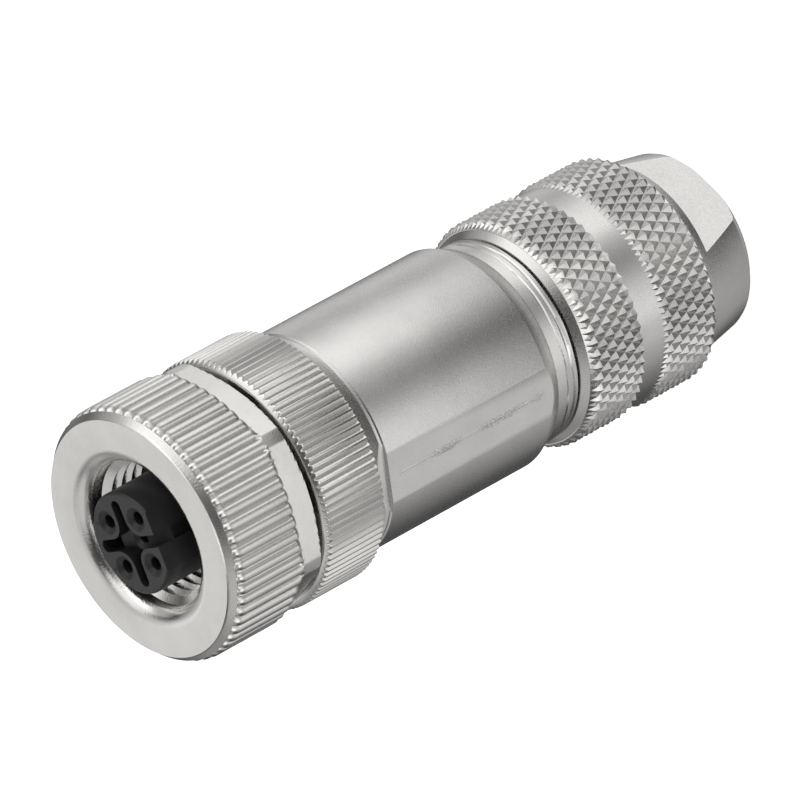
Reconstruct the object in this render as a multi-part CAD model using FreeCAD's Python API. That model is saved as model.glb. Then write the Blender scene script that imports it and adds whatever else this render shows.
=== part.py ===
"""Field-wireable shielded M12 cable connector with sockets, A-coded, five poles.

Millimetres. The connector stands on the flat rear end of its gland nut: +Z runs along the
axis from the cable end (Z = 0) to the mating end, and the keyway of the contact insert
faces -Y. Stations along the axis are given as depths behind the front face of the
coupling nut, because that face is what the connector is measured from.
"""
import FreeCAD, Part
import math
import os

Vector = FreeCAD.Vector
ORIGIN = Vector(0, 0, 0)
UP = Vector(0, 0, 1)

# Driving dimensions
nut_face_z = 57.8            # front face of the coupling nut above the rear end
insert_proud = 0.85          # contact insert stands out in front of that face
insert_r = 4.15
thread_minor_r = 5.46        # M12 x 1 internal thread, drawn at its crest
crest_r = 10.44              # coupling nut over its ribs and corners
sleeve_r = 9.24
sleeve_flat = 9.0            # half of the 18 mm wrench size
joint_thread_r = 7.70        # M16 x 1 threads, drawn at their pitch radius
thread_clearance = 0.06
running_clearance = 0.06
cable_bore_r = 4.4

# Coupling nut
nut_length = 9.2
nut_face_r = 9.64
nut_rear_r = 9.55            # where the rear chamfer of the hexagon ends
nut_rear_chamfer = 0.45
rib_length = 6.85
rib_root_r = 9.93
rib_count_per_side = 9
rib_pitch_deg = 6.0
first_corner_deg = -67.4
nut_flat_r = 9.5             # middle of a side behind the ribs
nut_flat_crown = 56.8        # radius of the slightly crowned sides
neck_r = 6.50
snap_groove_r = 7.2
snap_thick = 0.80
snap_depth = 7.80
nut_play = 0.5

# Front body with its finely knurled flange
flange_front = 9.95
flange_rear = 15.9
flange_r = 10.3
flange_root_r = 10.15
flange_chamfer = 0.45
flange_teeth = 105
neck_front = 6.6
spigot_rear = 23.0
hub_r = 6.2
hub_front = 10.0
hub_rear = 21.4

# Sleeve
sleeve_front = 15.96
sleeve_recess_r = 8.3        # front recess over the body seal
sleeve_collar = 17.5
collar_flat = 8.7            # flat across the collar, deeper than the wrench flat behind it
sleeve_corner = 34.1
sleeve_chamfer_end = 35.45
sleeve_neck_r = 8.45
sleeve_thread_front = 37.0
sleeve_rear = 44.4
sleeve_flat_deg = -111.0
cavity_r = 7.2
cavity_front = 23.6
cavity_rear = 33.0
seat_r = 5.6
seat_rear = 34.6
seal_bore_r = 6.7

# Gland nut
gland_lip_front = 38.0
gland_lip_r = 8.45
gland_face = 38.5            # front face behind the lip
gland_face_r = 8.95
band_front = (38.75, 46.1)
band_length = (5.0, 5.4)
knurl_tip_r = 9.52
knurl_root_r = 9.20
knurl_edge_share = 0.35      # height left at a band's edge, where the chamfer cuts the points
knurl_count = 58
knurl_levels = 6             # rows of points across a band, each half a pitch from the next
waist_r = 9.15
tail_front = 51.4
tail_front_r = 8.6
tail_rear_r = 7.6
tail_edge = 0.95
gland_flat = 6.6
gland_flat_front = 52.8
gland_flat_deg = -50.0

# Contacts and terminals
contact_circle_r = 2.6
contact_r = 0.85
contact_bore_r = 0.52
entry_r = 0.54
entry_csk_r = 0.98
entry_csk_depth = 0.28
contact_set_back = 1.4       # end of a contact below the rim of its entry
slot_width = 1.0
slot_reach = 3.5
slot_depth = 2.4
post_half = 0.95
post_depth = 1.15            # top of the centre post below the insert's face
key_width = 1.0
key_flat = 3.33              # flat side of the insert, off the axis
key_floor = 2.9
key_front = 1.7              # start of the keyway below the insert's face
clamp_circle_r = 4.2
clamp_r = 1.2
block_front = 23.7
block_rear = 28.7
block_r = 6.85
screw_r = 0.9
screw_depth = 26.2

# Pole number to azimuth of its socket and of its terminal; the fifth sits on the axis
poles = {1: (-45.0, -45.0), 2: (45.0, 35.0), 3: (135.0, 145.0), 4: (-135.0, -135.0), 5: (None, 90.0)}


def z_at(depth):
    """Height of a station given as its depth behind the coupling nut's face."""
    return nut_face_z - depth


def polar(radius, azimuth_deg, z=0.0):
    angle = math.radians(azimuth_deg)
    return Vector(radius * math.cos(angle), radius * math.sin(angle), z)


def turned(*steps):
    """Solid of revolution. A step is (radius, depth), or (radius, depth, mid radius, mid depth)
    where the outline reaches that point along an arc."""
    def point(radius, depth):
        return Vector(radius, 0, z_at(depth))

    edges = []
    previous = point(steps[-1][0], steps[-1][1])
    for step in steps:
        target = point(step[0], step[1])
        if len(step) == 4:
            edges.append(Part.Arc(previous, point(step[2], step[3]), target).toShape())
        else:
            edges.append(Part.LineSegment(previous, target).toShape())
        previous = target
    return Part.Face(Part.Wire(edges)).revolve(ORIGIN, UP, 360)


def tube(inner, outer, front, rear):
    return turned((inner, front), (outer, front), (outer, rear), (inner, rear))


def rod(radius, azimuth_deg, circle_r, front, rear):
    base = polar(circle_r, azimuth_deg, z_at(rear))
    return Part.makeCylinder(radius, rear - front, base, UP)


def box_at(size_radial, size_across, front, rear, azimuth_deg, middle_r):
    """Box centred at middle_r on the given azimuth, one pair of sides square to the radius."""
    corner = Vector(middle_r - size_radial / 2, -size_across / 2, z_at(rear))
    shape = Part.makeBox(size_radial, size_across, rear - front, corner)
    shape.rotate(ORIGIN, UP, azimuth_deg)
    return shape


def prism(points, front, rear, azimuth_deg):
    """Prism along the axis with a cross-section given as (radial, across) points."""
    corners = [Vector(radial, across, z_at(rear)) for radial, across in points]
    face = Part.Face(Part.makePolygon(corners + corners[:1]))
    shape = face.extrude(Vector(0, 0, rear - front))
    shape.rotate(ORIGIN, UP, azimuth_deg)
    return shape


def socket_azimuth(pole):
    return poles[pole][0] or 0.0


def socket_circle(pole):
    return 0.0 if poles[pole][0] is None else contact_circle_r


def coupling_nut():
    """Hexagonal collar with rounded corners, straight ribs between the corners in front of
    it, a soft lead-in to the M12 thread and a rear bore that runs on the front body's neck."""
    rib_chamfer = crest_r - nut_face_r
    rear_bore_r = neck_r + running_clearance
    groove_front = snap_depth - 0.02
    groove_rear = snap_depth + snap_thick + 0.02
    mouth_r, throat_r, throat_depth = 7.35, 6.3, 0.6
    lead_in_r = ((mouth_r - throat_r) ** 2 + throat_depth ** 2) / (2 * throat_depth)
    half_arc = math.atan2(mouth_r - throat_r, lead_in_r - throat_depth) / 2
    arc_middle = (mouth_r - lead_in_r * math.sin(half_arc), lead_in_r * (1 - math.cos(half_arc)))
    body = turned(
        (mouth_r, 0, *arc_middle), (nut_face_r, 0), (crest_r, rib_chamfer),
        (crest_r, nut_length - nut_rear_chamfer), (nut_rear_r, nut_length), (rear_bore_r, nut_length),
        (rear_bore_r, groove_rear),
        (snap_groove_r, groove_rear), (snap_groove_r, groove_front),
        (rear_bore_r, groove_front), (rear_bore_r, 6.0), (thread_minor_r, 5.6),
        (thread_minor_r, 1.3), (throat_r, throat_depth))
    cutters = []
    for side in range(6):
        middle = first_corner_deg + 30 + 60 * side
        side_cut = box_at(4, 14, rib_length, nut_length + 1, middle, nut_flat_r + 1.7)
        crown = rod(nut_flat_crown, middle, nut_flat_r - nut_flat_crown, rib_length - 1, nut_length + 2)
        cutters.append(side_cut.cut(crown))
        for number in range(rib_count_per_side + 1):
            azimuth = middle + (number - rib_count_per_side / 2) * rib_pitch_deg
            groove = [(rib_root_r, -0.15), (crest_r + 0.2, -0.40), (crest_r + 0.2, 0.40), (rib_root_r, 0.15)]
            cutters.append(prism(groove, -0.5, rib_length, azimuth))
    return body.cut(Part.makeCompound(cutters))


def snap_ring():
    """Open spring ring, half in the nut's groove and half in the neck's."""
    ring = tube(6.08, 7.1, snap_depth, snap_depth + snap_thick)
    return ring.cut(box_at(3, 2.6, snap_depth - 1, snap_depth + 2, 90, 6.6))


def front_body():
    """Neck for the coupling nut, finely knurled flange, and the spigot that the sleeve's
    thread runs on."""
    groove_rear = snap_depth + snap_thick + 0.01
    body = turned(
        (insert_r + 0.02, neck_front), (neck_r - 0.25, neck_front), (neck_r, neck_front + 0.25),
        (neck_r, snap_depth - nut_play - 0.01), (6.0, snap_depth - nut_play - 0.01),
        (6.0, groove_rear), (neck_r, groove_rear), (neck_r, flange_front), (flange_r - flange_chamfer, flange_front),
        (flange_r, flange_front + flange_chamfer), (flange_r, flange_rear),
        (joint_thread_r, flange_rear), (joint_thread_r, spigot_rear - 0.4),
        (joint_thread_r - 0.4, spigot_rear), (hub_r + 0.05, spigot_rear),
        (hub_r + 0.05, hub_front), (insert_r + 0.02, hub_front))
    half_pitch = math.pi * flange_r / flange_teeth
    notch = [(flange_root_r, 0), (flange_r + 0.05, -0.88 * half_pitch), (flange_r + 0.05, 0.88 * half_pitch)]
    notches = [prism(notch, flange_front - 0.2, flange_rear + 0.2, 360 / flange_teeth * tooth)
               for tooth in range(flange_teeth)]
    return body.cut(Part.makeCompound(notches))


def contact_carrier():
    """Plastic insert: round barrel, flat on its keyway side, with a cross slot between four
    rounded islands, five countersunk entries, and a wider hub that fills the spigot."""
    face = -insert_proud
    floor = face + slot_depth
    barrel_rear = neck_front - 1.2
    half = contact_circle_r / 2
    island_r = half * math.sqrt(2) - slot_width / 2
    body = turned(
        (0, face), (insert_r - 0.15, face), (insert_r, face + 0.15), (insert_r, hub_front),
        (hub_r, hub_front), (hub_r, hub_rear), (0, hub_rear))
    cutters = []
    for azimuth in (0, 90, 180):
        cutters.append(box_at(slot_reach - slot_width / 2, slot_width, face - 1, floor,
                              azimuth, (slot_reach - slot_width / 2) / 2))
        cutters.append(rod(slot_width / 2, azimuth, slot_reach - slot_width / 2, face - 1, floor))
    cutters.append(box_at(5, slot_width, face - 1, floor, -90, 2.5))
    for pole in (1, 2, 3, 4):
        azimuth = poles[pole][0]
        corner = prism([(0, 0), (half, -half), (2 * half, 0), (half, half)], face - 1, floor, azimuth)
        cutters.append(corner.cut(rod(island_r, azimuth, contact_circle_r, face - 1.5, floor + 0.5)))
    cutters.append(box_at(2, 10, face - 1, barrel_rear, -90, key_flat + 1))
    cutters.append(box_at(2, key_width, face + key_front, barrel_rear, -90, key_floor + 1))
    body = body.cut(Part.makeCompound(cutters))
    body = body.fuse([centre_post(face), key_ramp(face)])
    return body.cut(Part.makeCompound(contact_holes(face)))


def profile_along_x(half_width, face, *points):
    """Prism across the insert, with its outline given as (y, depth below the face) points."""
    outline = [Vector(-half_width, y, z_at(face + depth)) for y, depth in points]
    return Part.Face(Part.makePolygon(outline + outline[:1])).extrude(Vector(2 * half_width, 0, 0))


def centre_post(face):
    """Post in the crossing of the slot. It runs a little way into the arm opposite the keyway."""
    return profile_along_x(
        post_half, face, (2.2, slot_depth + 0.5), (2.2, post_depth - 0.2), (1.0, post_depth),
        (-1.0, post_depth), (-1.0, slot_depth + 0.5))


def key_ramp(face):
    """Wedge in the fourth arm of the slot. It slopes from the middle out to the flat side."""
    return profile_along_x(
        slot_width / 2 + 0.15, face, (-1.2, slot_depth + 0.5), (-1.5, post_depth), (-1.8, 0.45),
        (-key_flat, key_front - 0.15), (-key_flat, key_front), (-key_floor, key_front),
        (-key_floor, slot_depth + 0.5))


def contact_holes(face):
    holes = []
    for pole in poles:
        azimuth = socket_azimuth(pole)
        circle = socket_circle(pole)
        top = entry_top(pole)
        centre = polar(circle, azimuth, z_at(top + entry_csk_depth))
        flare = (entry_csk_r - entry_r) / entry_csk_depth
        holes.append(Part.makeCone(entry_r, entry_csk_r + 0.1 * flare, entry_csk_depth + 0.1, centre, UP))
        holes.append(rod(entry_r, azimuth, circle, top - 1, top + contact_set_back))
        holes.append(rod(contact_r + 0.02, azimuth, circle, top + contact_set_back - 0.1, hub_rear + 1))
    return holes


def entry_top(pole):
    """Depth of the rim of a contact entry: the insert's face, or the top of the centre post."""
    return -insert_proud + (post_depth if poles[pole][0] is None else 0.0)


def socket_contact(pole):
    """Turned socket, slit into four tines, with a strap to its clamp barrel."""
    azimuth = socket_azimuth(pole)
    circle = socket_circle(pole)
    clamp_azimuth = poles[pole][1]
    top = entry_top(pole) + contact_set_back
    socket = rod(contact_r, azimuth, circle, top, hub_rear + 0.9)
    cutters = [rod(contact_bore_r, azimuth, circle, top - 1, top + 6)]
    for turn in (0, 90):
        slit = Part.makeBox(2.2, 0.24, 4.6, Vector(-1.1, -0.12, z_at(top + 4.4)))
        slit.rotate(ORIGIN, UP, azimuth + turn)
        slit.translate(polar(circle, azimuth))
        cutters.append(slit)
    socket = socket.cut(Part.makeCompound(cutters))
    clamp = rod(clamp_r, clamp_azimuth, clamp_circle_r, hub_rear + 0.3, block_rear - 0.4)
    wire_hole = rod(0.75, clamp_azimuth, clamp_circle_r, block_front, block_rear)
    start = polar(circle, azimuth)
    end = polar(clamp_circle_r, clamp_azimuth)
    run = end.sub(start)
    strap = Part.makeBox(run.Length, 1.1, 0.6, Vector(0, -0.55, z_at(hub_rear + 0.9)))
    strap.rotate(ORIGIN, UP, math.degrees(math.atan2(run.y, run.x)))
    strap.translate(start)
    contact = socket.fuse([strap, clamp])
    return contact.cut(Part.makeCompound([wire_hole, screw_bore(pole, screw_r + 0.05, 3.6, 6.0)]))


def screw_bore(pole, radius, inner, outer):
    """Radial cylinder at a terminal, from the inner to the outer distance off the axis."""
    azimuth = poles[pole][1]
    return Part.makeCylinder(radius, outer - inner, polar(inner, azimuth, z_at(screw_depth)), polar(1, azimuth))


def terminal_screw(pole):
    """Slotted clamping screw. Its point stops short of the wire hole's far side."""
    azimuth = poles[pole][1]
    screw = screw_bore(pole, screw_r, 4.75, 6.6)
    slot = Part.makeBox(0.6, 2.2, 0.45, Vector(6.2, -1.1, -0.225))
    slot.rotate(ORIGIN, UP, azimuth)
    slot.translate(Vector(0, 0, z_at(screw_depth)))
    return screw.cut(slot)


def terminal_block():
    """Plastic block around the five clamp barrels, with radial screw wells."""
    body = turned((0, block_front), (block_r, block_front), (block_r, block_rear - 0.4),
                  (block_r - 0.4, block_rear), (0, block_rear))
    cutters = []
    for pole in poles:
        azimuth = poles[pole][1]
        cutters.append(rod(clamp_r + 0.03, azimuth, clamp_circle_r, block_front - 1, block_rear - 0.4))
        cutters.append(rod(0.85, azimuth, clamp_circle_r, block_rear - 1, block_rear + 1))
        cutters.append(screw_bore(pole, screw_r + 0.06, 4.5, block_r + 1))
    return body.cut(Part.makeCompound(cutters))


def seal_ring(inner, outer, front, rear):
    """Elastomer ring with an eight-sided section."""
    width = outer - inner
    length = rear - front
    return turned(
        (inner, front + 0.3 * length), (inner + 0.3 * width, front), (outer - 0.3 * width, front),
        (outer, front + 0.3 * length), (outer, rear - 0.3 * length), (outer - 0.3 * width, rear),
        (inner + 0.3 * width, rear), (inner, rear - 0.3 * length))


def sleeve():
    """Die-cast sleeve with a chamfered collar and two wrench flats. The front thread takes the
    front body's spigot; the rear one carries the gland nut, and its bore holds the cable seal."""
    bore_r = joint_thread_r + thread_clearance
    body = turned(
        (sleeve_recess_r, sleeve_front), (8.6, sleeve_front), (8.6, sleeve_collar - 1.0),
        (9.22, sleeve_collar - 0.38), (9.12, sleeve_collar - 0.28), (9.12, sleeve_collar - 0.1),
        (sleeve_r, sleeve_collar), (sleeve_r, sleeve_corner), (8.62, sleeve_chamfer_end),
        (sleeve_neck_r, sleeve_chamfer_end + 0.15), (sleeve_neck_r, sleeve_thread_front - 0.1),
        (joint_thread_r, sleeve_thread_front + 0.3), (joint_thread_r, sleeve_rear - 0.3),
        (joint_thread_r - 0.3, sleeve_rear), (seal_bore_r, sleeve_rear), (seal_bore_r, seat_rear),
        (seat_r, seat_rear), (seat_r, cavity_rear), (cavity_r, cavity_rear),
        (cavity_r, cavity_front), (bore_r, cavity_front - 0.4), (bore_r, sleeve_front + 1.3),
        (sleeve_recess_r, sleeve_front + 1.3))
    flats = []
    for azimuth in (sleeve_flat_deg, sleeve_flat_deg + 180):
        flats.append(box_at(2, 12, sleeve_front - 1, sleeve_collar, azimuth, collar_flat + 1))
        flats.append(box_at(2, 12, sleeve_collar, sleeve_chamfer_end + 1, azimuth, sleeve_flat + 1))
    return body.cut(Part.makeCompound(flats))


def shield_ring():
    """Metal ring that clamps the cable's braid, with a conical front."""
    return turned((4.6, 36.6), (4.6, 35.4), (5.4, 34.62), (6.6, 34.62), (6.6, 36.6))


def cable_seal():
    """Rubber bush with two grooves round its outside and a funnel at its rear."""
    return turned(
        (3.2, 36.7), (6.5, 36.7), (6.5, 38.2), (6.1, 38.5), (6.5, 38.8), (6.5, 40.3),
        (6.1, 40.6), (6.5, 40.9), (6.5, 42.35), (4.2, 42.35), (3.2, 41.3))


def thrust_washer():
    return tube(4.7, 6.55, 42.4, 42.9)


def clamping_cage():
    """Ring with ten tapered fingers that the gland nut's cone bends onto the cable."""
    cage = turned(
        (4.7, 42.95), (6.5, 42.95), (6.5, 44.2), (6.3, 44.2), (5.6, 50.3), (4.9, 50.9),
        (4.5, 50.3), (4.5, 48.0), (4.7, 44.6))
    slits = [box_at(4, 0.8, 44.6, 52, 36 * finger, 5.5) for finger in range(10)]
    return cage.cut(Part.makeCompound(slits))


def knurl_band(front, length):
    """Ring of crossed knurling. Valleys and points alternate on a grid of half pitches; each
    grid cell is two flat facets that meet in a valley line."""
    columns = 2 * knurl_count
    levels = knurl_levels
    inner_r = waist_r - 0.3

    def node(column, level):
        column %= columns
        height = knurl_tip_r - knurl_root_r if (column + level) % 2 else 0.0
        if level in (0, levels):
            height *= knurl_edge_share
        return polar(knurl_root_r + height, 360 / columns * column, z_at(front + length * level / levels))

    def facet(*corners):
        return Part.Face(Part.makePolygon(list(corners) + [corners[0]]))

    faces = []
    for level in range(levels):
        for column in range(columns):
            low, low_next = node(column, level), node(column + 1, level)
            high, high_next = node(column, level + 1), node(column + 1, level + 1)
            if (column + level) % 2:
                faces.append(facet(low, low_next, high))
                faces.append(facet(low_next, high_next, high))
            else:
                faces.append(facet(low, low_next, high_next))
                faces.append(facet(low, high_next, high))
    for level in (0, levels):
        z = z_at(front + length * level / levels)
        rim = Part.makePolygon([node(column, level) for column in range(columns)] + [node(0, level)])
        hole = Part.Wire(Part.makeCircle(inner_r, Vector(0, 0, z), UP))
        faces.extend(Part.Face(rim).cut(Part.Face(hole)).Faces)
    wall = Part.makeCylinder(inner_r, length, Vector(0, 0, z_at(front + length)), UP).Faces[0]
    shell = Part.makeShell(faces + [wall])
    shell.sewShape()
    return Part.makeSolid(shell.Shells[0])


def gland_nut():
    """Clamping nut: thin front lip, two diamond-knurled bands round a smooth waist, and a
    tapered tail with two wrench flats round the cable bore."""
    bore_r = joint_thread_r + thread_clearance
    core = turned(
        (bore_r + 0.25, gland_lip_front), (gland_lip_r - 0.1, gland_lip_front),
        (gland_lip_r, gland_lip_front + 0.1), (gland_lip_r, gland_face), (gland_face_r, gland_face),
        (waist_r, gland_face + waist_r - gland_face_r), (waist_r, tail_front - 0.2),
        (tail_front_r, tail_front - 0.2), (tail_front_r, tail_front),
        (tail_rear_r, nut_face_z - tail_edge), (tail_rear_r - tail_edge, nut_face_z),
        (cable_bore_r + 0.35, nut_face_z), (cable_bore_r, nut_face_z - 0.35),
        (cable_bore_r, 52.3), (5.75, 51.3), (6.75, 45.2), (bore_r, 45.0), (bore_r, gland_lip_front + 0.25))
    flats = [box_at(4, 14, gland_flat_front, nut_face_z + 1, gland_flat_deg + turn, gland_flat + 2)
             for turn in (0, 180)]
    core = core.cut(Part.makeCompound(flats))
    bands = [knurl_band(front, length) for front, length in zip(band_front, band_length)]
    return core.fuse(bands)


nodes = {
    "coupling_nut": coupling_nut(),
    "snap_ring": snap_ring(),
    "front_body": front_body(),
    "contact_carrier": contact_carrier(),
    "front_seal": seal_ring(insert_r + 0.01, 5.15, neck_front - 1.0, neck_front),
    "body_seal": seal_ring(joint_thread_r + 0.01, 8.25, flange_rear + 0.05, flange_rear + 0.95),
    "terminal_block": terminal_block(),
    "sleeve": sleeve(),
    "shield_ring": shield_ring(),
    "cable_seal": cable_seal(),
    "thrust_washer": thrust_washer(),
    "clamping_cage": clamping_cage(),
    "gland_nut": gland_nut(),
}
for pole in poles:
    nodes[f"socket_contact_{pole}"] = socket_contact(pole)
    nodes[f"terminal_screw_{pole}"] = terminal_screw(pole)

os.makedirs("parts", exist_ok=True)
for name, shape in nodes.items():
    shape.exportStep(f"parts/{name}.step")
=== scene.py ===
"""Looks of a metal M12 cable connector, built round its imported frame. Blender units are metres;
sizes of turned pieces are written in millimetres, as a radius and a depth behind the nut's face."""
import bpy
import bmesh
import math
from mathutils import Matrix, Vector, noise


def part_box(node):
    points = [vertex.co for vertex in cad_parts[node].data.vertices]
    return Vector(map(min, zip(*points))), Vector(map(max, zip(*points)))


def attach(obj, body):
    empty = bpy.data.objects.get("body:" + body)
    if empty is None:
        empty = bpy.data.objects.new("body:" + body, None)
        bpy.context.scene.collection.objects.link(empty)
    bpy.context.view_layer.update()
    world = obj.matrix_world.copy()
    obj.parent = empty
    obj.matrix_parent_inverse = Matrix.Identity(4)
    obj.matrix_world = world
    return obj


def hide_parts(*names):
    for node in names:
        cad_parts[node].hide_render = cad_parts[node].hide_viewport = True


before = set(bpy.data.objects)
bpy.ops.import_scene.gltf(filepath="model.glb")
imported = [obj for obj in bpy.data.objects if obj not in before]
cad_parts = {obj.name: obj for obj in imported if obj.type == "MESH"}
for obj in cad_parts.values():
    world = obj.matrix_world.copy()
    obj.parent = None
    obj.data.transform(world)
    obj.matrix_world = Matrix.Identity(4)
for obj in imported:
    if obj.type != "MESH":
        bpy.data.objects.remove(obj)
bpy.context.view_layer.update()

# Socket contacts: five turned brass sockets with slit ends, gold-plated. Each is pressed into
# the insert and carries a clamp barrel for one wire behind it.
mm = 0.001
poles = range(1, 6)


def new_surface(name, colour, metallic, roughness):
    """Material with one Principled shader; returns the material, its nodes, its links and the shader."""
    material = bpy.data.materials.new(name)
    material.use_nodes = True
    nodes, links = material.node_tree.nodes, material.node_tree.links
    shader = nodes["Principled BSDF"]
    shader.inputs["Base Color"].default_value = (*colour, 1)
    shader.inputs["Metallic"].default_value = metallic
    shader.inputs["Roughness"].default_value = roughness
    return material, nodes, links, shader


def grain(nodes, links, size_mm, detail=2.0, stretch=(1, 1, 1)):
    """Noise in object space whose largest lumps are about size_mm across."""
    place = nodes.new("ShaderNodeTexCoord")
    turn = nodes.new("ShaderNodeMapping")
    turn.inputs["Scale"].default_value = stretch
    lumps = nodes.new("ShaderNodeTexNoise")
    lumps.inputs["Scale"].default_value = 1 / (size_mm * mm)
    lumps.inputs["Detail"].default_value = detail
    links.new(place.outputs["Object"], turn.inputs["Vector"])
    links.new(turn.outputs["Vector"], lumps.inputs["Vector"])
    return lumps


def between(nodes, links, source, low, high, start=0.35, end=0.65):
    """Maps a texture's grey from start..end to low..high."""
    spread = nodes.new("ShaderNodeMapRange")
    for socket, value in zip(("From Min", "From Max", "To Min", "To Max"), (start, end, low, high)):
        spread.inputs[socket].default_value = value
    links.new(source, spread.inputs["Value"])
    return spread.outputs["Result"]


def tinted(nodes, links, shader, source, light, dark, start=0.35, end=0.65):
    """Base colour that drifts from dark to light with a texture's grey."""
    blend = nodes.new("ShaderNodeMix")
    blend.data_type = "RGBA"
    blend.inputs["A"].default_value = (*dark, 1)
    blend.inputs["B"].default_value = (*light, 1)
    links.new(between(nodes, links, source, 0, 1, start, end), blend.inputs["Factor"])
    links.new(blend.outputs["Result"], shader.inputs["Base Color"])
    return blend


def raised(nodes, links, shader, source, height_mm, under=None):
    """Bump of height_mm from a texture's grey, on top of an earlier bump if one is given."""
    bump = nodes.new("ShaderNodeBump")
    bump.inputs["Distance"].default_value = height_mm * mm
    links.new(source, bump.inputs["Height"])
    if under is not None:
        links.new(under.outputs["Normal"], bump.inputs["Normal"])
    links.new(bump.outputs["Normal"], shader.inputs["Normal"])
    return bump


def put(piece, material, body):
    """Gives a finished piece its material and its body."""
    piece.data.materials.clear()
    piece.data.materials.append(material)
    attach(piece, body)
    return piece


def smoothed_copy(node, name, sharp_deg=32):
    """A welded copy of a node's mesh with smooth round faces; it stands for the node."""
    shape = bmesh.new()
    shape.from_mesh(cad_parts[node].data)
    bmesh.ops.remove_doubles(shape, verts=shape.verts, dist=0.0005 * mm)
    piece = finished(shape, name, sharp_deg)
    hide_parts(node)
    return piece


def finished(shape, name, sharp_deg=32):
    """Turns a bmesh into an object with smooth faces and sharp edges above an angle."""
    for edge in shape.edges:
        edge.smooth = edge.calc_face_angle(math.pi) <= math.radians(sharp_deg)
    for face in shape.faces:
        face.smooth = True
    mesh = bpy.data.meshes.new(name)
    shape.to_mesh(mesh)
    shape.free()
    if "custom_normal" in mesh.attributes:
        mesh.attributes.remove(mesh.attributes["custom_normal"])
    piece = bpy.data.objects.new(name, mesh)
    bpy.context.scene.collection.objects.link(piece)
    return piece


gold, nodes, links, shader = new_surface("gold_plating", (0.83, 0.60, 0.24), 1.0, 0.22)
lumps = grain(nodes, links, 0.3)
tinted(nodes, links, shader, lumps.outputs["Fac"], (0.86, 0.63, 0.26), (0.76, 0.52, 0.19))
raised(nodes, links, shader, lumps.outputs["Fac"], 0.002)
for pole in poles:
    contact = smoothed_copy(f"socket_contact_{pole}", f"contact_{pole}")
    put(contact, gold, "front_assembly")

# Contact insert: black moulded polyamide with a keyway, a cross slot and five countersunk
# entries in its front. It is pressed into the front body and holds the contacts.
black_plastic, nodes, links, shader = new_surface("insert_plastic", (0.012, 0.012, 0.013), 0.0, 0.42)
lumps = grain(nodes, links, 0.12, 4)
links.new(between(nodes, links, lumps.outputs["Fac"], 0.36, 0.5), shader.inputs["Roughness"])
tinted(nodes, links, shader, lumps.outputs["Fac"], (0.014, 0.014, 0.015), (0.009, 0.009, 0.010))
raised(nodes, links, shader, lumps.outputs["Fac"], 0.004)
put(smoothed_copy("contact_carrier", "contact_insert"), black_plastic, "front_assembly")

# Terminal block and its five slotted screws: black polyamide with brass clamps inside; the
# zinc-plated screws press each wire into its clamp.
block_plastic, nodes, links, shader = new_surface("block_plastic", (0.045, 0.045, 0.048), 0.0, 0.5)
lumps = grain(nodes, links, 0.2, 4)
tinted(nodes, links, shader, lumps.outputs["Fac"], (0.052, 0.052, 0.055), (0.038, 0.038, 0.04))
raised(nodes, links, shader, lumps.outputs["Fac"], 0.006)
put(smoothed_copy("terminal_block", "wire_block"), block_plastic, "front_assembly")
screw_steel, nodes, links, shader = new_surface("screw_steel", (0.58, 0.58, 0.58), 1.0, 0.3)
lumps = grain(nodes, links, 0.15, 3)
links.new(between(nodes, links, lumps.outputs["Fac"], 0.24, 0.4), shader.inputs["Roughness"])
tinted(nodes, links, shader, lumps.outputs["Fac"], (0.62, 0.62, 0.61), (0.5, 0.5, 0.5))
for pole in poles:
    screw = smoothed_copy(f"terminal_screw_{pole}", f"clamp_screw_{pole}")
    put(screw, screw_steel, f"terminal_screw_{pole}")

# Front body: nickel-plated turned brass. Its neck carries the coupling nut, its flange is
# finely knurled for grip, and the sleeve screws onto the spigot behind it.
nut_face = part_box("coupling_nut")[1].z
flange_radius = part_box("front_body")[1].x / mm
flange_teeth = 105
flange_root = 10.06
groove_share = 0.8


def depth_z(depth_mm):
    """Height of a station that lies depth_mm behind the coupling nut's face."""
    return nut_face - depth_mm * mm


def lathe(outline, steps, shape=None):
    """Spins a closed outline of (radius, depth) points in millimetres round the axis."""
    shape = shape or bmesh.new()
    corners = [shape.verts.new((radius * mm, 0, depth_z(depth))) for radius, depth in outline]
    sides = [shape.edges.new(pair) for pair in zip(corners, corners[1:] + corners[:1])]
    bmesh.ops.spin(shape, geom=corners + sides, cent=(0, 0, 0), axis=(0, 0, 1),
                   angle=2 * math.pi, steps=steps, use_merge=True)
    bmesh.ops.remove_doubles(shape, verts=shape.verts, dist=0.0001 * mm)
    bmesh.ops.recalc_face_normals(shape, faces=shape.faces)
    return shape


def radius_to(vert, radius_mm):
    """Moves a vertex out or in to a distance from the axis."""
    scale = radius_mm * mm / math.hypot(vert.co.x, vert.co.y)
    vert.co.x *= scale
    vert.co.y *= scale


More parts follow.
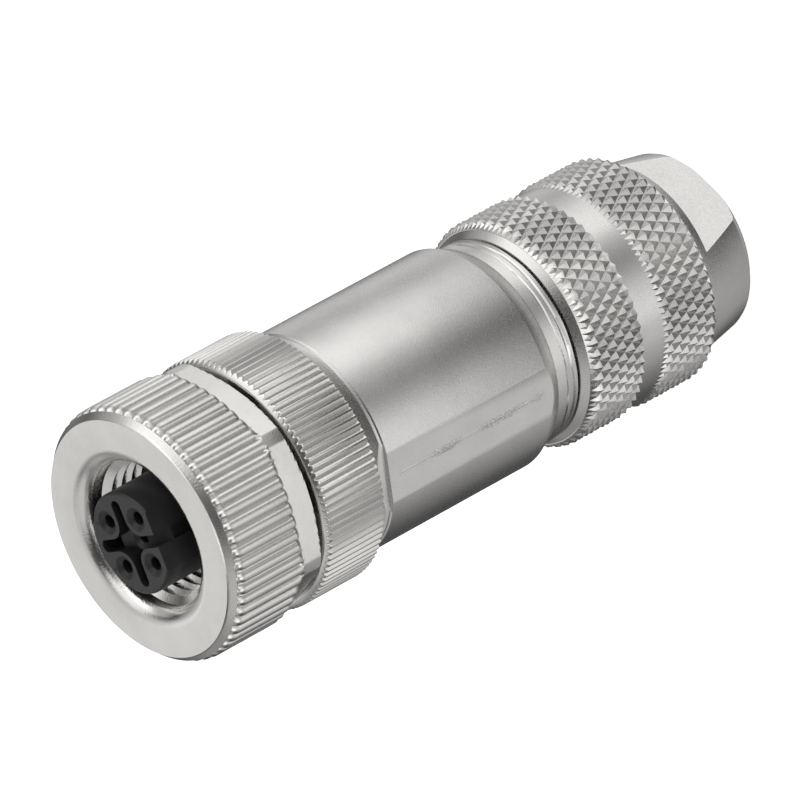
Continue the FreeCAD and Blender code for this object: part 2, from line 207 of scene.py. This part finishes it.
def helix(shape, root, crest, crest_width, front, turns):
    """Winds a right-hand thread of 1 mm pitch from its root radius to its crest round the
    axis, starting at a depth, and tapers both ends into the root."""
    steps = 96
    run_out = 0.4
    middle = 0.5
    crest_start, crest_end = middle - crest_width / 2, middle + crest_width / 2
    profile = [(root, 0), (crest, crest_start), (crest, crest_end), (root, 1.0)]
    corners = [shape.verts.new((radius * mm, 0, depth_z(front + depth))) for radius, depth in profile]
    sides = [shape.edges.new(pair) for pair in zip(corners, corners[1:] + corners[:1])]
    known = set(shape.verts)
    bmesh.ops.spin(
        shape, geom=corners + sides, cent=(0, 0, 0), axis=(0, 0, 1), dvec=(0, 0, -mm / steps),
        angle=-2 * math.pi * turns, steps=int(turns * steps), use_merge=False)
    for vert in corners + [vert for vert in shape.verts if vert not in known]:
        radius = math.hypot(vert.co.x, vert.co.y) / mm
        angle = math.atan2(-vert.co.y, vert.co.x) / (2 * math.pi) % 1
        depth = (nut_face - vert.co.z) / mm - front
        along = round(depth - middle - angle) + angle
        taper = min(1, max(0, along / run_out), max(0, (turns - along) / run_out))
        radius_to(vert, root + (radius - root) * taper)
    bmesh.ops.recalc_face_normals(shape, faces=shape.faces)


def nickel(name, colour, roughness, grain_mm, grain_height):
    """Nickel plating: even colour with faint clouds, and a fine grain that scatters its shine."""
    material, nodes, links, shader = new_surface(name, colour, 1.0, roughness)
    clouds = grain(nodes, links, 3.0, 3)
    dull = tuple(0.94 * part for part in colour)
    tinted(nodes, links, shader, clouds.outputs["Fac"], colour, dull)
    fine = grain(nodes, links, grain_mm, 3)
    mottled = between(nodes, links, fine.outputs["Fac"], roughness * 0.8, roughness * 1.25)
    links.new(mottled, shader.inputs["Roughness"])
    raised(nodes, links, shader, fine.outputs["Fac"], grain_height)
    return material


turned_nickel = nickel("turned_nickel", (0.70, 0.69, 0.67), 0.22, 0.10, 0.006)
neck_outline = [(4.17, 6.6), (6.25, 6.6), (6.5, 6.85), (6.5, 7.29), (6.0, 7.29), (6.0, 8.61), (6.5, 8.61)]
flange_front, flange_rear = 9.65, 15.6
flange_outline = [
    (6.5, flange_front), (9.76, flange_front), (9.85, flange_front + 0.02), (9.93, flange_front + 0.08),
    (10.05, flange_front + 0.19), (10.15, flange_front + 0.29), (10.23, flange_front + 0.38),
    (10.28, flange_front + 0.48), (flange_radius, flange_front + 0.6), (flange_radius, flange_front + 1.0),
    (flange_radius, flange_rear - 0.06), (10.26, flange_rear), (7.2, flange_rear)]
spigot_outline = [(7.2, 22.7), (6.9, 23.0), (6.25, 23.0), (6.25, 10.0), (4.17, 10.0)]
body_shape = lathe(neck_outline + flange_outline + spigot_outline, flange_teeth * 8)
for vert in body_shape.verts:
    depth = (nut_face - vert.co.z) / mm
    radius = math.hypot(vert.co.x, vert.co.y) / mm
    if radius > flange_root + 0.04:
        phase = math.atan2(vert.co.y, vert.co.x) / (2 * math.pi) * flange_teeth % 1
        valley = flange_root + (flange_radius - flange_root) * min(1, abs(phase - 0.5) * 2 / groove_share)
        radius_to(vert, min(radius, valley))
helix(body_shape, 7.2, 7.75, 0.10, flange_rear + 0.1, 6.5)
body = finished(body_shape, "front_body_turned", 28)
put(body, turned_nickel, "front_assembly")
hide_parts("front_body")

# Front seal and body seal: black elastomer rings, one in the bottom of the coupling nut that
# seals against the mating part, one between the flange and the sleeve.
rubber, nodes, links, shader = new_surface("seal_rubber", (0.02, 0.02, 0.02), 0.0, 0.6)
lumps = grain(nodes, links, 0.25, 4)
tinted(nodes, links, shader, lumps.outputs["Fac"], (0.026, 0.026, 0.026), (0.016, 0.016, 0.016))
raised(nodes, links, shader, lumps.outputs["Fac"], 0.008)
for node in ("front_seal", "body_seal"):
    put(smoothed_copy(node, f"{node}_ring", 60), rubber, "front_assembly")

# Snap ring: open ring of flat spring steel. It sits half in the neck's groove and half in the
# coupling nut's, so the nut can turn but not come off.
spring_steel, nodes, links, shader = new_surface("spring_steel", (0.5, 0.5, 0.5), 1.0, 0.34)
lumps = grain(nodes, links, 0.2, 3)
tinted(nodes, links, shader, lumps.outputs["Fac"], (0.54, 0.54, 0.54), (0.42, 0.42, 0.43))
raised(nodes, links, shader, lumps.outputs["Fac"], 0.003)
put(smoothed_copy("snap_ring", "snap_ring_steel"), spring_steel, "snap_ring")

# Coupling nut: nickel-plated die casting, a hexagon with rounded corners whose front two
# thirds carry straight grip ribs. The M12 thread and its soft lead-in are cut afterwards.
nut_top = 10.44
nut_length = 9.35
rib_root = 9.90
rib_pitch = 6.0
nose_tip, nose_foot = 0.55, 1.4
rib_slope, rib_end = 6.65, 7.2
first_corner = -66.7
face_radius, face_edge = 9.68, 0.07
notch_front, notch_depth = 0.85, 0.3
flat_middle = 9.5
flat_crown = 56.8
rear_radius, rear_slope = 9.55, 1.98
mouth_radius, throat_radius = 7.35, 6.3


def collar_radius(side_deg):
    """Slightly crowned side of the hexagon, up to the rounded corner; side_deg counts from its middle."""
    side = math.radians(side_deg)
    centre = flat_middle - flat_crown
    return min(nut_top, centre * math.cos(side) + math.sqrt(flat_crown ** 2 - (centre * math.sin(side)) ** 2))


def rib_radius(side_deg, depth):
    """Convex ribs with a bullet nose and narrow valleys, nine to a side and one on each corner."""
    across = abs((side_deg / rib_pitch + 0.5) % 1 - 0.5) * 2
    before = max(0, (nose_foot - depth) / (nose_foot - nose_tip))
    away = math.hypot(across, before)
    if away < 1:
        swell = (1 - away ** 2.4) ** 0.6
        return rib_root + (nut_top - rib_root) * swell
    return rib_root


nose_depths = (
    0.0, 0.02, 0.07, 0.14, 0.22, 0.3, 0.4, 0.5, 0.56, 0.62, 0.7, 0.78, 0.86, 0.95, 1.05, 1.2, nose_foot, 1.7)
end_depths = (rib_slope, 6.75, 6.85, 6.95, 7.03, 7.1, 7.15, 7.19, 7.22, 7.45)
rear_depths = (8.85, 8.91, 9.0, 9.1, 9.2, 9.3, nut_length)
mouth_arc = [(mouth_radius, 0.0), (7.15, 0.015), (6.95, 0.07), (6.75, 0.16), (6.55, 0.29), (6.40, 0.43),
             (throat_radius, 0.58)]
nut_outline = [(nut_top, depth) for depth in nose_depths + end_depths + rear_depths]
nut_outline += [
    (6.56, nut_length), (6.56, 8.62), (7.2, 8.62), (7.2, 7.78), (6.56, 7.78), (6.56, 6.3), (6.05, 5.9),
    (6.05, 1.0), (6.1, 0.8)]
nut_outline += mouth_arc[::-1]
nut_shape = lathe(nut_outline, 720)
for vert in nut_shape.verts:
    depth = (nut_face - vert.co.z) / mm
    radius = math.hypot(vert.co.x, vert.co.y) / mm
    if radius < nut_top - 0.01:
        continue
    side = (math.degrees(math.atan2(vert.co.y, vert.co.x)) - first_corner) % 60 - 30
    collar = collar_radius(side)
    chamfer = face_radius - face_edge + depth + face_edge * math.exp(-depth / 0.05)
    if depth < rib_end:
        ending = max(0, (depth - rib_slope) / (rib_end - rib_slope))
        outside = collar + (rib_radius(side, depth) - collar) * math.sqrt(max(0, 1 - ending ** 2))
        if depth < notch_front:
            rise = min(1, (notch_front - depth) / notch_depth)
            front_wall = rib_root + (face_radius + 0.5 - rib_root) * rise
            outside = min(chamfer, max(outside, front_wall))
    else:
        outside = min(collar, rear_radius + (nut_length - depth) * rear_slope)
    radius_to(vert, outside)
helix(nut_shape, 6.06, 5.46, 0.12, 1.0, 4.6)
nut = finished(nut_shape, "coupling_nut_ribbed", 30)
nut_nickel = nickel("nut_nickel", (0.70, 0.69, 0.67), 0.23, 0.14, 0.014)

# The rim of the mouth is turned bright; this roughness takes the place of the even one.
nodes, links = nut_nickel.node_tree.nodes, nut_nickel.node_tree.links
place = nodes.new("ShaderNodeTexCoord")
flat_place = nodes.new("ShaderNodeVectorMath")
flat_place.operation = "MULTIPLY"
flat_place.inputs[1].default_value = (1, 1, 0)
from_axis = nodes.new("ShaderNodeVectorMath")
from_axis.operation = "LENGTH"
links.new(place.outputs["Object"], flat_place.inputs[0])
links.new(flat_place.outputs["Vector"], from_axis.inputs[0])
bright_edge, cast_edge = 7.0 * mm, 7.4 * mm
polish = between(nodes, links, from_axis.outputs["Value"], 0.10, 0.26, bright_edge, cast_edge)
links.new(polish, nodes["Principled BSDF"].inputs["Roughness"])
put(nut, nut_nickel, "coupling_nut")
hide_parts("coupling_nut")

# Sleeve: zinc die casting with satin nickel plating, with two wrench flats and a faint seam
# down the middle of each. Fine threads at both ends take the front body and the gland nut.
sleeve_radius = 9.24
sleeve_collar = 17.5
collar_front = 15.66
ridges_front, ridges_rear = 36.52, 37.8
ridge_shift, ridge_lean, ridge_swell = 0.16, 0.05, 0.05
collar_flat_height = 8.7
flat_azimuth = -111.0
flat_height = 9.0


def flats(shape, azimuth, height):
    """Planes off two opposite sides of a closed shape."""
    for turn in (0, 180):
        angle = math.radians(azimuth + turn)
        outward = Vector((math.cos(angle), math.sin(angle), 0))
        cut = bmesh.ops.bisect_plane(
            shape, geom=shape.verts[:] + shape.edges[:] + shape.faces[:],
            dist=0.0001 * mm, plane_co=outward * height * mm, plane_no=outward, clear_outer=True)
        rim = [part for part in cut["geom_cut"] if isinstance(part, bmesh.types.BMEdge)]
        bmesh.ops.holes_fill(shape, edges=rim)
    bmesh.ops.recalc_face_normals(shape, faces=shape.faces)


def maths(operation, *values):
    """Adds a math node on numbers or sockets to the current nodes; returns its result."""
    step = nodes.new("ShaderNodeMath")
    step.operation = operation
    for socket, value in zip(step.inputs, values):
        if isinstance(value, bpy.types.NodeSocket):
            links.new(value, socket)
        else:
            socket.default_value = value
    return step.outputs["Value"]


def part_along(vector, way):
    """Length of a vector's part along a fixed direction, in the current nodes."""
    product = nodes.new("ShaderNodeVectorMath")
    product.operation = "DOT_PRODUCT"
    product.inputs[1].default_value = way
    links.new(vector, product.inputs[0])
    return product.outputs["Value"]


sleeve_shape = lathe([
    (sleeve_radius, sleeve_collar), (sleeve_radius, 34.0), (9.21, 34.12), (8.64, 35.4), (8.56, 35.5),
    (8.45, 35.55), (8.45, 36.5), (8.37, 36.57), (8.37, 36.66), (8.44, 36.76), (8.44, 37.1), (8.33, 37.2),
    (8.32, 37.28), (8.4, 37.42), (8.4, 37.7), (8.2, 37.88), (7.4, 37.92), (7.4, 44.1), (7.1, 44.4),
    (6.7, 44.4), (6.7, 34.6), (5.6, 34.6), (5.6, 33.0), (7.2, 33.0), (7.2, 23.6), (8.0, 23.2),
    (8.0, sleeve_collar)], 360)
for vert in sleeve_shape.verts:
    depth = (nut_face - vert.co.z) / mm
    if ridges_front < depth < ridges_rear:
        angle = math.atan2(vert.co.y, vert.co.x)
        wander = noise.noise(Vector((2.5 * math.cos(angle), 2.5 * math.sin(angle), 3 * depth)))
        vert.co.z += (ridge_shift * wander - ridge_lean * math.sin(angle)) * mm
        radius_to(vert, math.hypot(vert.co.x, vert.co.y) / mm + ridge_swell * wander)
flats(sleeve_shape, flat_azimuth, flat_height)
collar_shape = lathe([
    (8.0, 17.26), (8.3, 17.26), (8.3, collar_front), (8.55, collar_front), (8.6, collar_front + 0.05),
    (8.6, 16.48), (8.62, 16.53), (9.17, 17.06), (9.22, 17.1), (9.22, 17.14), (9.12, 17.2), (9.11, 17.3),
    (9.12, 17.4), (sleeve_radius, sleeve_collar + 0.01), (8.0, sleeve_collar + 0.01)], 360)
flats(collar_shape, flat_azimuth, collar_flat_height)
collar_mesh = bpy.data.meshes.new("sleeve_collar")
collar_shape.to_mesh(collar_mesh)
sleeve_shape.from_mesh(collar_mesh)
helix(sleeve_shape, 7.4, 7.98, 0.16, 36.6, 7.2)
sleeve = finished(sleeve_shape, "sleeve_cast", 20)
satin_nickel = nickel("satin_nickel", (0.69, 0.68, 0.665), 0.22, 0.075, 0.012)

# The casting's seam: a thin raised line down the middle of each flat, with crumbs of metal
# beside it in some stretches, between the collar and the rear chamfer.
line_share, crumb_height = 0.16, 0.06
seam_start, seam_full, seam_fading, seam_end = 18.2, 19.0, 32.6, 33.8
nodes, links = satin_nickel.node_tree.nodes, satin_nickel.node_tree.links
place = nodes.new("ShaderNodeTexCoord").outputs["Object"]
across_flat = math.radians(flat_azimuth + 90)
aside = maths("ABSOLUTE", part_along(place, (math.cos(across_flat), math.sin(across_flat), 0)))
stretches = grain(nodes, links, 5.0, 1, (0, 0, 1))
crumbs = grain(nodes, links, 0.15, 2)
ragged = maths("MULTIPLY", between(nodes, links, aside, 1, 0, 0.1 * mm, 0.38 * mm),
               between(nodes, links, stretches.outputs["Fac"], 0, 1, 0.42, 0.56))
ragged = maths("MULTIPLY", ragged, between(nodes, links, crumbs.outputs["Fac"], 0, 1, 0.5, 0.6))
seam = maths("ADD", between(nodes, links, aside, line_share, 0, 0.01 * mm, 0.07 * mm), ragged)
height = part_along(place, (0, 0, 1))
seam = maths("MULTIPLY", seam, between(nodes, links, height, 1, 0, depth_z(seam_full), depth_z(seam_start)))
seam = maths("MULTIPLY", seam, between(nodes, links, height, 0, 1, depth_z(seam_end), depth_z(seam_fading)))
satin_bump = next(node for node in nodes if node.bl_idname == "ShaderNodeBump")
raised(nodes, links, nodes["Principled BSDF"], seam, crumb_height, satin_bump)
put(sleeve, satin_nickel, "sleeve")
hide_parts("sleeve")

# Shield ring, cable seal, thrust washer and clamping cage: the parts that the gland nut
# presses on the cable, in steel, rubber, black and grey polyamide.
put(smoothed_copy("shield_ring", "shield_cone"), spring_steel, "seal_stack")
put(smoothed_copy("cable_seal", "cable_bush", 50), rubber, "seal_stack")
put(smoothed_copy("thrust_washer", "slip_washer"), black_plastic, "clamping_cage")
grey_plastic, nodes, links, shader = new_surface("cage_plastic", (0.3, 0.31, 0.32), 0.0, 0.45)
lumps = grain(nodes, links, 0.3, 4)
tinted(nodes, links, shader, lumps.outputs["Fac"], (0.33, 0.34, 0.35), (0.26, 0.27, 0.28))
raised(nodes, links, shader, lumps.outputs["Fac"], 0.006)
put(smoothed_copy("clamping_cage", "finger_cage"), grey_plastic, "clamping_cage")

# Gland nut: turned brass, knurled in two bands of crossed grooves that leave sharp points,
# then nickel-plated. Two flats are milled on its tail.
point_radius = 9.53
valley_radius = 9.2
waist_radius = 9.15
points_round = 58
point_length = 1.74
point_height = 0.95
raggedness = 0.08
bands = ((38.5, 5.25, 8.95), (46.05, 5.45, waist_radius))
tail_flat_azimuth = -50.0
tail_flat_height = 6.6
tail_flat_front = 52.8


def knurled_band(shape, front, length, front_radius):
    """A ring of four-sided points between two sets of slanting grooves, chamfered at its front."""
    quarters = math.ceil(4 * length / point_length)
    known = set(shape.verts)
    bmesh.ops.create_grid(shape, x_segments=points_round * 4, y_segments=quarters, size=0.5)
    skin = [vert for vert in shape.verts if vert not in known]
    for vert in skin:
        depth = min(length, (vert.co.y + 0.5) * quarters / 4 * point_length)
        around = (vert.co.x + 0.5) * points_round
        across = depth / point_length
        one_way = abs((around + across) % 1 - 0.5)
        other_way = abs((around - across) % 1 - 0.5)
        height = min(point_height, 1 - 2 * max(one_way, other_way))
        angle = 2 * math.pi * around / points_round
        place = Vector((9 * math.cos(angle), 9 * math.sin(angle), 2.2 * (front + depth)))
        ragged = 1 + raggedness * noise.noise(place)
        radius = valley_radius + (point_radius - valley_radius) * height * ragged
        radius = min(radius, front_radius + depth)
        vert.co = Vector((math.cos(angle), math.sin(angle), 0)) * radius * mm
        vert.co.z = depth_z(front + depth)
    bmesh.ops.remove_doubles(shape, verts=skin, dist=0.001 * mm)
    skin = [vert for vert in shape.verts if vert not in known]
    faces = list({face for vert in skin for face in vert.link_faces})
    bmesh.ops.triangulate(shape, faces=faces, quad_method="SHORT_EDGE", ngon_method="BEAUTY")
    rims = list({edge for vert in skin for edge in vert.link_edges if edge.is_boundary})
    inner = bmesh.ops.extrude_edge_only(shape, edges=rims)["geom"]
    for vert in inner:
        if isinstance(vert, bmesh.types.BMVert):
            radius_to(vert, 8.3)
    edges = [edge for edge in inner if isinstance(edge, bmesh.types.BMEdge) and edge.is_boundary]
    bmesh.ops.bridge_loops(shape, edges=edges)


tail_front, tail_rear = 51.4, 56.85
tail_front_radius, tail_rear_radius = 8.6, 7.6
tail_slope = (tail_front_radius - tail_rear_radius) / (tail_rear - tail_front)
tail_at_flat = tail_front_radius - tail_slope * (tail_flat_front - tail_front)
gland_shape = lathe([
    (tail_at_flat, tail_flat_front), (tail_rear_radius, tail_rear), (7.48, 57.12), (6.85, 57.72),
    (6.65, 57.8), (4.75, 57.8), (4.4, 57.45), (4.4, tail_flat_front)], 240)
flats(gland_shape, tail_flat_azimuth, tail_flat_height)
lathe([
    (8.05, 38.0), (8.40, 38.0), (8.45, 38.05), (8.92, 38.52), (8.6, 38.6), (8.6, 43.6), (waist_radius, 43.65),
    (waist_radius, 46.15), (8.6, 46.2), (tail_front_radius, 51.42), (tail_at_flat, tail_flat_front),
    (4.4, tail_flat_front), (4.4, 52.3), (5.75, 51.3), (6.75, 45.2), (8.02, 45.0), (8.02, 38.1)],
    240, gland_shape)
for front, length, front_radius in bands:
    knurled_band(gland_shape, front, length, front_radius)
bmesh.ops.recalc_face_normals(gland_shape, faces=gland_shape.faces)
gland = finished(gland_shape, "gland_nut_knurled", 25)
knurled_nickel = nickel("knurled_nickel", (0.67, 0.66, 0.645), 0.26, 0.10, 0.006)
put(gland, knurled_nickel, "gland_nut")
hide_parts("gland_nut")

# Floor, light and camera: a pale floor and surround, soft boxes of light that a studio puts
# round shiny metal, and the photograph's long lens from in front and above.
def towards(azimuth_deg, height_deg):
    """Unit vector in the direction with this azimuth and this height above the horizon."""
    azimuth, height = math.radians(azimuth_deg), math.radians(height_deg)
    return Vector((
        math.cos(height) * math.cos(azimuth), math.cos(height) * math.sin(azimuth), math.sin(height)))


camera_data = bpy.data.cameras.new("camera")
camera_data.sensor_width = 36
camera_data.lens = 557.6
camera = bpy.data.objects.new("camera", camera_data)
bpy.context.scene.collection.objects.link(camera)
aim = Vector((-0.218, -0.05, 30.94)) * mm
camera_distance = 0.94005
camera_roll = math.radians(-118.64)
back = towards(-77, 34.6)
turn = back.to_track_quat("Z", "Y").to_matrix() @ Matrix.Rotation(camera_roll, 3, "Z")
camera.matrix_world = Matrix.Translation(aim + back * camera_distance) @ turn.to_4x4()
bpy.context.scene.camera = camera

world = bpy.data.worlds.new("studio")
bpy.context.scene.world = world
world.use_nodes = True
nodes, links = world.node_tree.nodes, world.node_tree.links
heading = nodes.new("ShaderNodeTexCoord").outputs["Generated"]


def soft_box(azimuth_deg, height_deg, full_deg, none_deg, level, so_far):
    """Adds light from one direction: full within full_deg of it, gone beyond none_deg."""
    fade = nodes.new("ShaderNodeMapRange")
    fade.interpolation_type = "SMOOTHSTEP"
    fade.inputs["From Min"].default_value = math.cos(math.radians(none_deg))
    fade.inputs["From Max"].default_value = math.cos(math.radians(full_deg))
    fade.inputs["To Max"].default_value = level
    links.new(part_along(heading, towards(azimuth_deg, height_deg)), fade.inputs["Value"])
    return maths("ADD", so_far, fade.outputs["Result"])


# Each row stands at one height and gives the azimuth and level of its boxes: from overhead,
# from a little above the horizon, from below it, two small ones for the far edges, from underneath.
dark_level = 0.02
rows_of_boxes = (
    (50, 8, 38, ((-180, 0.7), (0, 1.3), (90, 0.7))),
    (15, 6, 30, ((-120, 1.4), (-90, 0.8), (-60, 0.8), (-30, 1.3), (0, 0.7), (30, 0.5), (90, 0.5), (120, 0.3),
                 (150, 0.25))),
    (-28, 5, 27, ((-156, 0.3), (-132, 0.45), (-108, 0.6), (-84, 0.5), (-36, 0.65), (-12, 0.5), (12, 0.8),
                  (60, 0.5))),
    (-35, 3, 17, ((-17, 0.35), (-115, 0.2))),
    (-62, 8, 38, ((-180, 0.4), (0, 0.1), (60, 0.35))))
light = dark_level
for height_deg, full_deg, none_deg, row in rows_of_boxes:
    for azimuth_deg, level in row:
        light = soft_box(azimuth_deg, height_deg, full_deg, none_deg, level, light)
studio = nodes["Background"]
studio.inputs["Color"].default_value = (1, 1, 1, 1)
links.new(light, studio.inputs["Strength"])

# The camera sees the surround as plain white, and the metal mirrors a small share of that white.
white_share = 0.06
white = nodes.new("ShaderNodeBackground")
white.inputs["Color"].default_value = (1, 1, 1, 1)
seen = nodes.new("ShaderNodeLightPath")
mirrored = maths("ADD", seen.outputs["Is Glossy Ray"], seen.outputs["Is Transmission Ray"])
share = maths("MULTIPLY_ADD", mirrored, white_share, seen.outputs["Is Camera Ray"])
choose = nodes.new("ShaderNodeMixShader")
links.new(share, choose.inputs["Fac"])
links.new(studio.outputs["Background"], choose.inputs[1])
links.new(white.outputs["Background"], choose.inputs[2])
links.new(choose.outputs["Shader"], nodes["World Output"].inputs["Surface"])

floor_shape = bmesh.new()
bmesh.ops.create_grid(floor_shape, x_segments=1, y_segments=1, size=3)
floor = finished(floor_shape, "floor")
pale, nodes, links, shader = new_surface("pale_floor", (0.8, 0.8, 0.8), 0.0, 0.9)
seen = nodes.new("ShaderNodeLightPath")
shader.inputs["Emission Color"].default_value = (1, 1, 1, 1)
links.new(maths("MULTIPLY", seen.outputs["Is Camera Ray"], 0.75), shader.inputs["Emission Strength"])
floor.data.materials.append(pale)
floor.visible_glossy = False
floor.visible_shadow = False
bpy.context.scene.view_settings.view_transform = "Standard"
